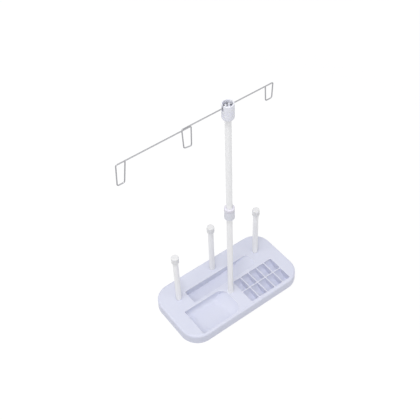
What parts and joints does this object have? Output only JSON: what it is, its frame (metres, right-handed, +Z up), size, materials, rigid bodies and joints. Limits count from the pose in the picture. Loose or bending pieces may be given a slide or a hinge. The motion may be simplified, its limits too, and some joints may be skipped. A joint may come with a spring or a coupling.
{
  "type": "thread rack",
  "caption": "Sewing thread stand: a flat moulded base with trays and bobbin pockets, capped spool pins and a jointed mast that carries a bent wire thread guide.",
  "frame": {"origin": "on the ground, halfway between the tip of the left thread loop and the right end of the base, on the base's middle line", "axes": "+X along the base to the right, +Y from the pocket side to the pin side, +Z up"},
  "size_m": [0.2542, 0.1054, 0.3607],
  "materials": {
    "base_plastic": "satin moulded plastic, pale lavender blue",
    "pad_rubber": "soft matt pad, grey",
    "tube_plastic": "extruded tube, white",
    "coupler_plastic": "satin moulded plastic, pale lavender blue",
    "nut_plastic": "satin moulded plastic, paler lavender",
    "cap_plastic": "satin moulded plastic, pale lavender blue",
    "wire_steel": "drawn wire, plain",
    "pin_cap_plastic": "satin moulded plastic, white"
  },
  "bodies": {
    "base": {"base_tray": "base_plastic", "foot_pad_front_left": "pad_rubber", "foot_pad_front_right": "pad_rubber", "foot_pad_back_left": "pad_rubber", "foot_pad_back_right": "pad_rubber"},
    "mast_lower": {"mast_lower_tube": "tube_plastic", "coupler_body": "coupler_plastic"},
    "coupler_nut": {"coupler_nut": "nut_plastic"},
    "mast_upper": {"mast_upper_tube": "tube_plastic"},
    "thread_guide": {"guide_cap": "cap_plastic", "guide_wire": "wire_steel"},
    "spool_pin_left": {"pin_tube_left": "tube_plastic", "pin_cap_left": "pin_cap_plastic"},
    "spool_pin_middle": {"pin_tube_middle": "tube_plastic", "pin_cap_middle": "pin_cap_plastic"},
    "spool_pin_right": {"pin_tube_right": "tube_plastic", "pin_cap_right": "pin_cap_plastic"}
  },
  "joints": [
    {"name": "mast_lift", "type": "slide", "parent": "base", "child": "mast_lower", "axis": [0, 0, 1], "range_m": [0, 0.015]},
    {"name": "coupler_nut_turn", "type": "hinge", "parent": "mast_lower", "child": "coupler_nut", "pos_m": [0.02262, -0.0138, 0.1911], "axis": [0, 0, 1], "range_deg": [0, 90]},
    {"name": "upper_mast_lift", "type": "slide", "parent": "mast_lower", "child": "mast_upper", "axis": [0, 0, 1], "range_m": [0, 0.012]},
    {"name": "guide_swivel", "type": "hinge", "parent": "mast_upper", "child": "thread_guide", "pos_m": [0.02262, -0.0138, 0.3496], "axis": [0, 0, 1], "continuous": true},
    {"name": "pin_left_lift", "type": "slide", "parent": "base", "child": "spool_pin_left", "axis": [0, 0, 1], "range_m": [0, 0.014]},
    {"name": "pin_middle_lift", "type": "slide", "parent": "base", "child": "spool_pin_middle", "axis": [0, 0, 1], "range_m": [0, 0.014]},
    {"name": "pin_right_lift", "type": "slide", "parent": "base", "child": "spool_pin_right", "axis": [0, 0, 1], "range_m": [0, 0.014]}
  ]
}
